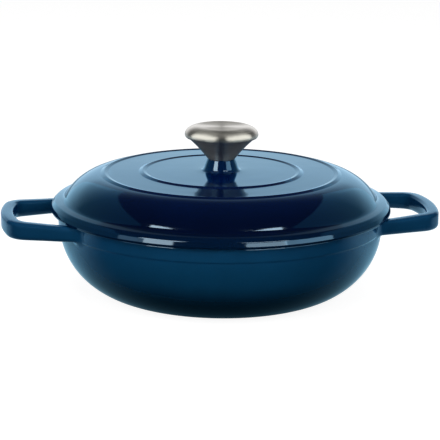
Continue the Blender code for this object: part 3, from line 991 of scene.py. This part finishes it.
@dataclass
class LidCasting:
    """Lid: boss for the knob, two raised rings, dome, rolled flange and the lip underneath."""

    pan: PanCasting
    seat_gap: float = 0.0003
    overhang: float = 0.0064
    rise: float = 0.0350
    crown: float = 0.0016
    wall: float = 0.0037
    ring_step: float = 0.0004
    ring_rise: float = 0.0010
    ring_width: float = 0.0068
    ring_roll: float = 0.0030
    ring_shares: Point = (0.33, 0.66)
    crest_share: float = 0.7
    ring_inset: float = 0.0479
    ring_spacing: float = 0.0345
    dome_radius: float = 0.0440
    dome_inset: float = 0.0120
    flange_thickness: float = 0.0088
    flange_slope: float = 0.0016
    flange_face: float = 0.0036
    flange_lean: float = 17.0
    flange_roll: float = 0.0034
    flange_lower_roll: float = 0.0012
    flange_fillet: float = 0.0060
    flange_belt: float = 0.0010
    flange_belt_edge: float = 0.0020
    flange_top_run: float = 0.0030
    flange_top_fall: float = 0.0001
    seat_run: float = 0.0030
    lip_play: float = 0.0010
    lip_width: float = 0.0034
    lip_depth: float = 0.0034
    lip_run: float = 0.0020
    lip_root: float = 0.0006
    lip_edge: float = 0.0011
    boss_height: float = 0.0105
    boss_top_radius: float = 0.0123
    boss_foot_radius: float = 0.0160
    boss_fillet: float = 0.0032
    boss_edge: float = 0.0005
    boss_root: float = 0.0040
    boss_root_rise: float = 0.0002
    boss_run: float = 0.0060
    hole: float = 0.0030
    upward: float = 0.02
    downward: float = -0.9
    seat_paint: Point = (0.0040, 0.0010)
    inside_paint: float = 0.0001
    segments: int = 256

    def __post_init__(self) -> None:
        """Works out the heights and radii that follow."""
        self.seat = self.pan.rim_height + self.seat_gap
        self.radius = self.pan.rim_radius + self.overhang
        self.top = self.seat + self.rise
        self.boss_top = self.top + self.boss_height
        self.outer_ring = self.radius - self.ring_inset
        self.inner_ring = self.outer_ring - self.ring_spacing
        flange_top = self.seat + self.flange_thickness
        self.dome_foot = (self.radius - self.dome_inset, flange_top + self.flange_slope)
        shoulder = self.outer_ring + self.ring_width / 2
        self.shoulder = (shoulder, self.crown_height(shoulder, 2))

    def crown_height(self, radius: float, steps_down: int) -> float:
        """Height of the nearly flat top, lowered by the ring steps passed on the way out."""
        reach = self.radius - self.ring_inset
        return self.top - self.crown * (radius / reach) ** 2 - self.ring_step * steps_down

    def outer_line(self) -> list[Point]:
        """Draws the outer profile.

        Returns:
            Its points, from the hole in the boss down to the seat.
        """
        half = self.ring_width / 2
        run_out = self.boss_foot_radius + self.boss_fillet + self.boss_run
        corners = [(self.hole, self.boss_top, 0.0), (self.boss_top_radius, self.boss_top, self.boss_edge),
                   (self.boss_foot_radius, self.top + self.boss_root_rise, self.boss_root),
                   (run_out, self.crown_height(run_out, 0), 0.0)]
        points = rounded(corners, steps=8)
        rings = [(*points[-1], 0.0)]
        for passed, ring in enumerate((self.inner_ring, self.outer_ring)):
            start = rings[-1][0]
            for share in self.ring_shares:
                radius = start + (ring - half - start) * share
                rings.append((radius, self.crown_height(radius, passed), 0.0))
            crest = self.crown_height(ring, passed) + self.ring_rise
            rings.append((ring - half, self.crown_height(ring - half, passed), self.ring_roll))
            rings.append((ring, crest, self.ring_roll * self.crest_share))
            rings.append((ring + half, self.crown_height(ring + half, passed + 1), self.ring_roll))
        dome = arc_between(self.shoulder, self.dome_foot, self.dome_radius, -1, steps=40)
        rings.append((*dome[1], 0.0))
        points += rounded(rings, steps=6)[1:-1] + dome[1:-4]
        flange_top = self.seat + self.flange_thickness - self.flange_top_fall
        face_foot = self.seat + self.flange_lower_roll + self.flange_belt
        face_top = self.radius - self.flange_face * math.tan(math.radians(self.flange_lean))
        edge = [(*dome[-4], 0.0), (*self.dome_foot, self.flange_fillet),
                (face_top - self.flange_top_run, flange_top, self.flange_roll),
                (face_top, face_foot + self.flange_face, self.flange_roll * self.crest_share),
                (self.radius, face_foot, self.flange_belt_edge),
                (self.radius, self.seat, self.flange_lower_roll),
                (self.radius - self.seat_run, self.seat, 0.0)]
        return points + rounded(edge, steps=10)[1:-1]

    def inner_line(self) -> list[Point]:
        """Draws the inner profile.

        Returns:
            Its points, from the seat over the lip and up under the dome to the hole.
        """
        outer = self.pan.mouth - self.lip_play
        inner = outer - self.lip_width
        foot = self.seat - self.lip_depth
        centre = arc_centre(self.shoulder, self.dome_foot, self.dome_radius, -1)
        reach = self.dome_radius - self.wall
        start = math.degrees(math.acos((inner - centre.x) / reach))
        dome = arc((centre.x, centre.y), (reach, reach), start, 90, steps=30)
        corners = [(outer + self.lip_run, self.seat, 0.0), (outer, self.seat, self.lip_root),
                   (outer, foot, self.lip_edge), (inner, foot, self.lip_edge), (*dome[0], 0.0)]
        return rounded(corners) + dome[1:] + [(self.hole, dome[-1][1])]

    @property
    def underside(self) -> float:
        """Height of the flat middle of the underside."""
        return self.inner_line()[-1][1]

    def build(self, finishes: "Finishes") -> Piece:
        """Models and paints the lid.

        Args:
            finishes: The materials.

        Returns:
            The piece.
        """
        profile = self.outer_line() + self.inner_line()
        materials = (finishes.lid, finishes.cream, finishes.seat)
        piece = Lathe(self.segments).turn("lid_casting", profile, materials, closed=True)
        inside = self.pan.mouth
        paint_ring(piece, 1, (self.hole, inside), (0.0, self.underside + self.inside_paint))
        seat_start, seat_end = inside - self.seat_paint[0], self.radius - self.seat_paint[1]
        for face in piece.data.polygons:
            radius = math.hypot(face.center.x, face.center.y)
            if face.normal.z > self.upward and radius < inside:
                face.material_index = 0
            if face.normal.z < self.downward and seat_start < radius < seat_end:
                face.material_index = 2
        return piece


@dataclass
class Knob:
    """Turned steel knob: a flared skirt with a collar, and a crowned cap on it."""

    lid: LidCasting
    gap: float = 0.0003
    top_radius: float = 0.0300
    height: float = 0.0190
    flare: float = 0.1300
    sheet: float = 0.0014
    skirt_floor: float = 0.0016
    collar_height: float = 0.0020
    collar_step: float = 0.0006
    cap_radius: float = 0.0330
    shoulder: float = 0.0110
    cap_crown: float = 0.0076
    cap_skirt: float = 0.0026
    ledge: float = 0.0016
    cap_sheet: float = 0.0016
    dish: float = 0.0005
    dish_radius: float = 0.0130
    dish_bend: float = 0.0900
    overlap: float = 0.0016
    edge: float = 0.0004
    collar_edge: float = 0.0003
    hem: float = 0.0003
    hem_rise: float = 0.0002
    hem_turn: float = -80.0
    segments: int = 160

    def __post_init__(self) -> None:
        """Works out the heights and radii that follow."""
        self.foot = self.lid.boss_top + self.gap
        self.top = self.foot + self.height
        self.collar_radius = self.top_radius + self.collar_step
        self.collar_top = self.top + self.collar_height
        self.cap_foot = self.collar_top - self.overlap
        self.cap_waist = self.cap_foot + self.cap_skirt
        self.cap_top = self.cap_waist + self.cap_crown

    def skin(self, inset: float, low: float, high: float, steps: int) -> list[Point]:
        """Samples the flared side.

        Args:
            inset: How far inside the outer face it lies.
            low: First height.
            high: Last height.
            steps: Number of chords.

        Returns:
            The points, from low to high.
        """
        start, end = (self.lid.boss_top_radius, self.foot), (self.top_radius, self.top)
        centre = arc_centre(start, end, self.flare, -1)
        reach = self.flare + inset
        points = []
        for step in range(steps + 1):
            height = low + (high - low) * step / steps
            points.append((centre.x - math.sqrt(reach ** 2 - (height - centre.y) ** 2), height))
        return points

    def build_skirt(self, finishes: "Finishes") -> Piece:
        """Models the flared skirt.

        Args:
            finishes: The materials.

        Returns:
            The piece.
        """
        floor = self.foot + self.skirt_floor
        outer = self.skin(0.0, self.foot, self.top, steps=20)[::-1]
        inner = self.skin(self.sheet, floor, self.top, steps=12)
        inside = self.collar_radius - self.sheet
        corners = [(inside, self.collar_top, 0.0), (self.collar_radius, self.collar_top, self.edge),
                   (self.collar_radius, self.top + self.collar_step / 2, self.collar_edge),
                   (*outer[0], self.edge), (*outer[1], 0.0)]
        foot = [(*outer[-2], 0.0), (*outer[-1], self.edge), (self.lid.hole, self.foot, 0.0)]
        profile = rounded(corners)[:-1] + outer[1:-1] + rounded(foot)[1:]
        profile += [(self.lid.hole, floor), *inner, (inside, self.top + self.collar_step)]
        return Lathe(self.segments).turn("knob_skirt", profile, (finishes.steel,), closed=True)

    def build_cap(self, finishes: "Finishes") -> Piece:
        """Models the crowned cap with its shallow dish.

        Args:
            finishes: The materials.

        Returns:
            The piece.
        """
        shoulder = (self.cap_radius - self.shoulder, self.cap_top)
        side = (self.shoulder, self.cap_crown)
        inside = self.collar_radius + self.gap
        ledge = (inside - self.ledge, self.collar_top + self.gap)
        hem = (self.cap_radius - inside - self.hem, self.cap_skirt)
        dish = self.cap_top - self.dish
        hollow = dish - self.cap_sheet
        profile = [(0.0, dish), (self.dish_radius / 2, dish)]
        profile += arc_between((self.dish_radius, dish), shoulder, self.dish_bend, 1, steps=6)
        profile += arc((shoulder[0], self.cap_waist), side, 90, 0, steps=32)[1:]
        profile += arc((inside + self.hem, self.cap_waist), hem, 0, self.hem_turn, steps=14)[1:]
        profile += [(inside, self.cap_foot + self.hem_rise), (inside, ledge[1]), ledge]
        vault = (ledge[0] - shoulder[0], hollow - ledge[1])
        profile += arc((shoulder[0], ledge[1]), vault, 0, 90, steps=8)[1:]
        profile.append((0.0, hollow))
        return Lathe(self.segments).turn("knob_crown", profile, (finishes.steel,))


@dataclass
class Finishes:
    """The set of materials."""

    pan: Material
    lid: Material
    cream: Material
    seat: Material
    steel: Material
    plate: Material

    @classmethod
    def mix(cls) -> "Finishes":
        """Makes all materials.

        Returns:
            The set.
        """
        # The pan's handles get painted shade: their enamel colour is darkened to 0.78
        pan = GlossEnamel("enamel_blue_pan", ShadeAlong.HEIGHT, reach=(0.0, 0.076), stops=PAN_STOPS,
                          handle_dulling=2.8, handle_painted_shade=0.78)
        lid = GlossEnamel("enamel_blue_lid", ShadeAlong.RADIUS, reach=(0.0, 0.155), stops=LID_STOPS)
        return cls(pan=pan.make(), lid=lid.make(), cream=CreamEnamel("enamel_cream").make(),
                   seat=MattSeat("ground_coat_matt").make(), steel=SpunSteel("steel_spun").make(),
                   plate=PlatedSteel("steel_zinc_plated").make())


@dataclass
class Fastening:
    """Fittings under the lid and inside the knob, whose frame solids are right as they are."""

    nodes: tuple[str, ...] = ("knob_insert", "knob_screw", "flat_washer", "lock_washer")

    def dress(self, finishes: Finishes) -> None:
        """Gives each carried-over solid its plated finish.

        Args:
            finishes: The materials.
        """
        for name in self.nodes:
            paint(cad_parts[name], (finishes.plate,))
            LOG.info("%s dressed", name)


@dataclass(frozen=True)
class Panel:
    """Soft lamp, placed and sized by the angles under which the object sees it.

    Attributes:
        name: Name of the lamp.
        azimuth: Degrees to the right of the camera's side, seen from above.
        elevation: Degrees above the horizon.
        spread: Degrees across and upright.
        brightness: Brightness of its face, where 1 is white.
        colour: Colour of its light.
    """

    name: str
    azimuth: float
    elevation: float
    spread: Point
    brightness: float
    colour: Colour = WHITE


ENAMEL_LAMPS = (
    Panel("softbox_left_upper", -42.5, 36.0, (26.0, 21.0), 30.0, (1.0, 0.60, 0.40)),
    Panel("softbox_left_lower", -40.5, 11.5, (19.0, 19.0), 22.0, (1.0, 0.60, 0.40)),
    Panel("softbox_right_upper", 35.0, 44.0, (27.0, 8.6), 30.0, (1.0, 0.62, 0.42)),
    Panel("softbox_right_lower", 30.0, 10.0, (26.0, 20.0), 13.0, (1.0, 0.66, 0.46)),
    Panel("softbox_left_wide", -59.5, 12.0, (18.0, 20.0), 2.5, (1.0, 0.85, 0.70)),
    Panel("softbox_right_wide", 60.0, 18.0, (34.0, 28.0), 6.0, (1.0, 0.88, 0.70)),
    Panel("side_wall_left", -108.0, 18.0, (100.0, 61.0), 0.32, (0.28, 0.84, 1.0)),
    Panel("end_wall_left", -165.5, 11.0, (15.0, 40.0), 0.15, (0.60, 0.84, 1.0)),
    Panel("side_wall_right", 104.0, 19.0, (100.0, 63.0), 0.38, (0.34, 0.84, 1.0)),
    Panel("end_wall_right", 163.5, 11.0, (19.0, 40.0), 0.18, (0.60, 0.84, 1.0)),
)
STEEL_LAMPS = (
    Panel("knob_light_left", -62.5, 10.0, (88.0, 100.0), 1.95, (1.0, 1.0, 0.95)),
    Panel("knob_light_right", 63.5, 10.0, (88.0, 100.0), 1.9, (1.0, 1.0, 0.95)),
    Panel("knob_light_above", -8.0, 87.0, (60.0, 26.0), 0.4, (1.0, 1.0, 0.95)),
)
COLOUR_LAMPS = (
    Panel("light_left", -41.0, 24.0, (40.0, 40.0), 4.0),
    Panel("light_right", 30.0, 24.0, (40.0, 40.0), 3.8),
    Panel("light_above", 0.0, 82.0, (45.0, 45.0), 2.8),
)


@dataclass
class Studio:
    """Pale floor, surrounding light, lamps and the camera."""

    target: Triple = (0.0, 0.0, 0.0774)
    distance: float = 1.7176
    elevation: float = 13.18
    swing: float = 7.88
    roll: float = 0.0112
    lens: float = 155.56
    sensor: float = 36.0
    shift: Point = (-0.00164, -0.02847)
    floor_size: float = 14.0
    floor_gap: float = 0.0004
    floor_depth: Point = (-0.5, 0.7)
    # Painted reflection: floor colours for every ray but the camera's, dark in front and pale behind
    floor_stops: Stops = (
        (0.31, (0.015, 0.04, 0.05)), (0.45, (0.48, 0.60, 0.62)), (0.59, (0.40, 0.46, 0.49)))
    floor_roughness: float = 0.9
    floor_shine: float = 0.1
    floor_seen: float = 0.25
    floor_glow: float = 0.90
    floor_glow_in_reflections: float = 0.60
    backdrop: Colour = (1.25, 1.24, 1.25)
    backdrop_height: Point = (0.26, 0.86)
    backdrop_ends: Point = (-0.93, -0.60)
    backdrop_fade: float = 2.0
    room: Colour = (0.07, 0.07, 0.07)
    lamp_distance: float = 2.0
    lamps: tuple[tuple[LampUse, tuple[Panel, ...]], ...] = (
        (LampUse.ENAMEL_GLOSS, ENAMEL_LAMPS),
        (LampUse.STEEL_GLOSS, STEEL_LAMPS),
        (LampUse.COLOUR, COLOUR_LAMPS),
    )

    def seat_camera(self) -> None:
        """Places the camera at the photograph's angle."""
        back = bearing(-self.swing, self.elevation)
        data = bpy.data.cameras.new("camera")
        data.lens = self.lens
        data.sensor_width = self.sensor
        data.shift_x, data.shift_y = self.shift
        camera = link("camera", data)
        aim = (-back).to_track_quat("-Z", "Y").to_matrix().to_4x4()
        tilt = Matrix.Rotation(self.roll, 4, "Z")
        camera.matrix_world = Matrix.Translation(Vector(self.target) + back * self.distance) @ aim @ tilt
        bpy.context.scene.camera = camera

    def lay_floor(self) -> None:
        """Lays the floor, white for the camera; where it is mirrored it is a painted reflection, dark in
        front and pale behind.
        """
        deselect_all()
        bpy.ops.mesh.primitive_plane_add(size=self.floor_size, location=(0.0, 0.0, -self.floor_gap))
        floor = bpy.context.object
        floor.name = "floor"
        graph, material = Graph.of_material("floor_pale")
        rays = graph.add("ShaderNodeLightPath").outputs
        seen = rays["Is Camera Ray"]
        away = graph.vector("DOT_PRODUCT", "Value", graph.place, -bearing(-self.swing))
        sweep = graph.ramp(graph.stretch(away, self.floor_depth), self.floor_stops)
        base = graph.blend(seen, sweep, (self.floor_seen,) * 3)
        # Painted reflection: the floor glows for glossy rays too, so the enamel mirrors it brighter
        glow = graph.maths("ADD", graph.maths("MULTIPLY", seen, self.floor_glow),
                           graph.maths("MULTIPLY", rays["Is Glossy Ray"], self.floor_glow_in_reflections))
        graph.dress({"Base Color": base, "Roughness": self.floor_roughness,
                     "Specular IOR Level": self.floor_shine,
                     "Emission Color": graph.blend(seen, sweep, WHITE), "Emission Strength": glow})
        paint(floor, (material,))

    def light_world(self) -> None:
        """Surrounds the object with a cool backdrop and a dark room, and with white for the camera."""
        world = bpy.data.worlds.new("studio")
        world.use_nodes = True
        bpy.context.scene.world = world
        graph = Graph(world.node_tree, "Background", "Generated")
        height = graph.stretch(graph.part(graph.place, "Z"), self.backdrop_height, (1.0, 0.0))
        towards = graph.vector("DOT_PRODUCT", "Value", graph.place, bearing(-self.swing))
        side = graph.stretch(towards, self.backdrop_ends, (1.0, 0.0))
        share = graph.maths("MULTIPLY", side, graph.maths("POWER", height, self.backdrop_fade))
        around = graph.blend(share, self.room, self.backdrop)
        seen = graph.add("ShaderNodeLightPath").outputs["Is Camera Ray"]
        graph.dress({"Color": graph.blend(seen, around, WHITE)})

    def hang(self, panel: Panel, use: LampUse, shown_in: bpy.types.Collection | None) -> None:
        """Hangs one lamp so that it faces the object.

        Args:
            panel: The lamp.
            use: What it is for.
            shown_in: The pieces that it is kept to, if it is.
        """
        reach = 2 * self.lamp_distance
        width, height = (reach * math.tan(math.radians(angle) / 2) for angle in panel.spread)
        data = bpy.data.lights.new(panel.name, "AREA")
        data.shape = "RECTANGLE"
        data.size, data.size_y = width, height
        data.energy = math.pi * width * height * panel.brightness
        data.color = panel.colour
        lamp = link(panel.name, data)
        back = bearing(panel.azimuth - self.swing, panel.elevation)
        lamp.location = Vector(self.target) + back * self.lamp_distance
        lamp.rotation_euler = (-back).to_track_quat("-Z", "Y").to_euler()
        lamp.visible_diffuse = use is LampUse.COLOUR
        lamp.visible_glossy = not lamp.visible_diffuse
        if shown_in is not None:
            lamp.light_linking.receiver_collection = shown_in

    def set_up(self, shown_in: dict[LampUse, bpy.types.Collection]) -> None:
        """Builds the whole studio.

        Args:
            shown_in: The pieces that the lamps of a use are kept to.
        """
        self.seat_camera()
        self.lay_floor()
        self.light_world()
        for use, panels in self.lamps:
            for panel in panels:
                self.hang(panel, use, shown_in.get(use))
        bpy.context.scene.view_settings.view_transform = "Standard"


def seat_piece(piece: Piece, body: Body, slot: str, *nodes: str) -> Piece:
    """Ties a piece to its body, hides the frame solids that it stands for, and reports it.

    Args:
        piece: The piece.
        body: Body that it rides on.
        slot: Material slot that it belongs to; not used.
        *nodes: Frame solids that it stands for.

    Returns:
        The same piece.
    """
    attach(piece, body.value)
    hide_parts(*nodes)
    LOG.info("%s: %d faces", piece.name, len(piece.data.polygons))
    return piece


def group(name: str, pieces: Sequence[Piece]) -> bpy.types.Collection:
    """Gathers pieces that lamps are kept to.

    Args:
        name: Name of the collection.
        pieces: The pieces.

    Returns:
        The collection.
    """
    collection = bpy.data.collections.new(name)
    for piece in pieces:
        collection.objects.link(piece)
    return collection


def main() -> None:
    """Builds every sub-assembly in order."""
    logging.basicConfig(level=logging.INFO, format="%(message)s")
    finishes = Finishes.mix()
    pan = PanCasting()
    handle = LoopHandle(pan)
    lid = LidCasting(pan)
    knob = Knob(lid)
    castings = [seat_piece(pan.build(finishes), Body.PAN, "enamel", "pan_body")]
    for name, turn in (("handle_right", 0.0), ("handle_left", 180.0)):
        seat_piece(handle.build(name, turn, finishes), Body.PAN, "enamel", "pan_body")
    castings.append(seat_piece(lid.build(finishes), Body.LID, "enamel", "lid"))
    knobs = [seat_piece(knob.build_skirt(finishes), Body.LID, "stainless", "knob_cone"),
             seat_piece(knob.build_cap(finishes), Body.LID, "stainless", "knob_cap")]
    Fastening().dress(finishes)
    Studio().set_up({LampUse.ENAMEL_GLOSS: group("enamelled", castings),
                     LampUse.STEEL_GLOSS: group("spun", knobs)})


if __name__ == "__main__":
    main()
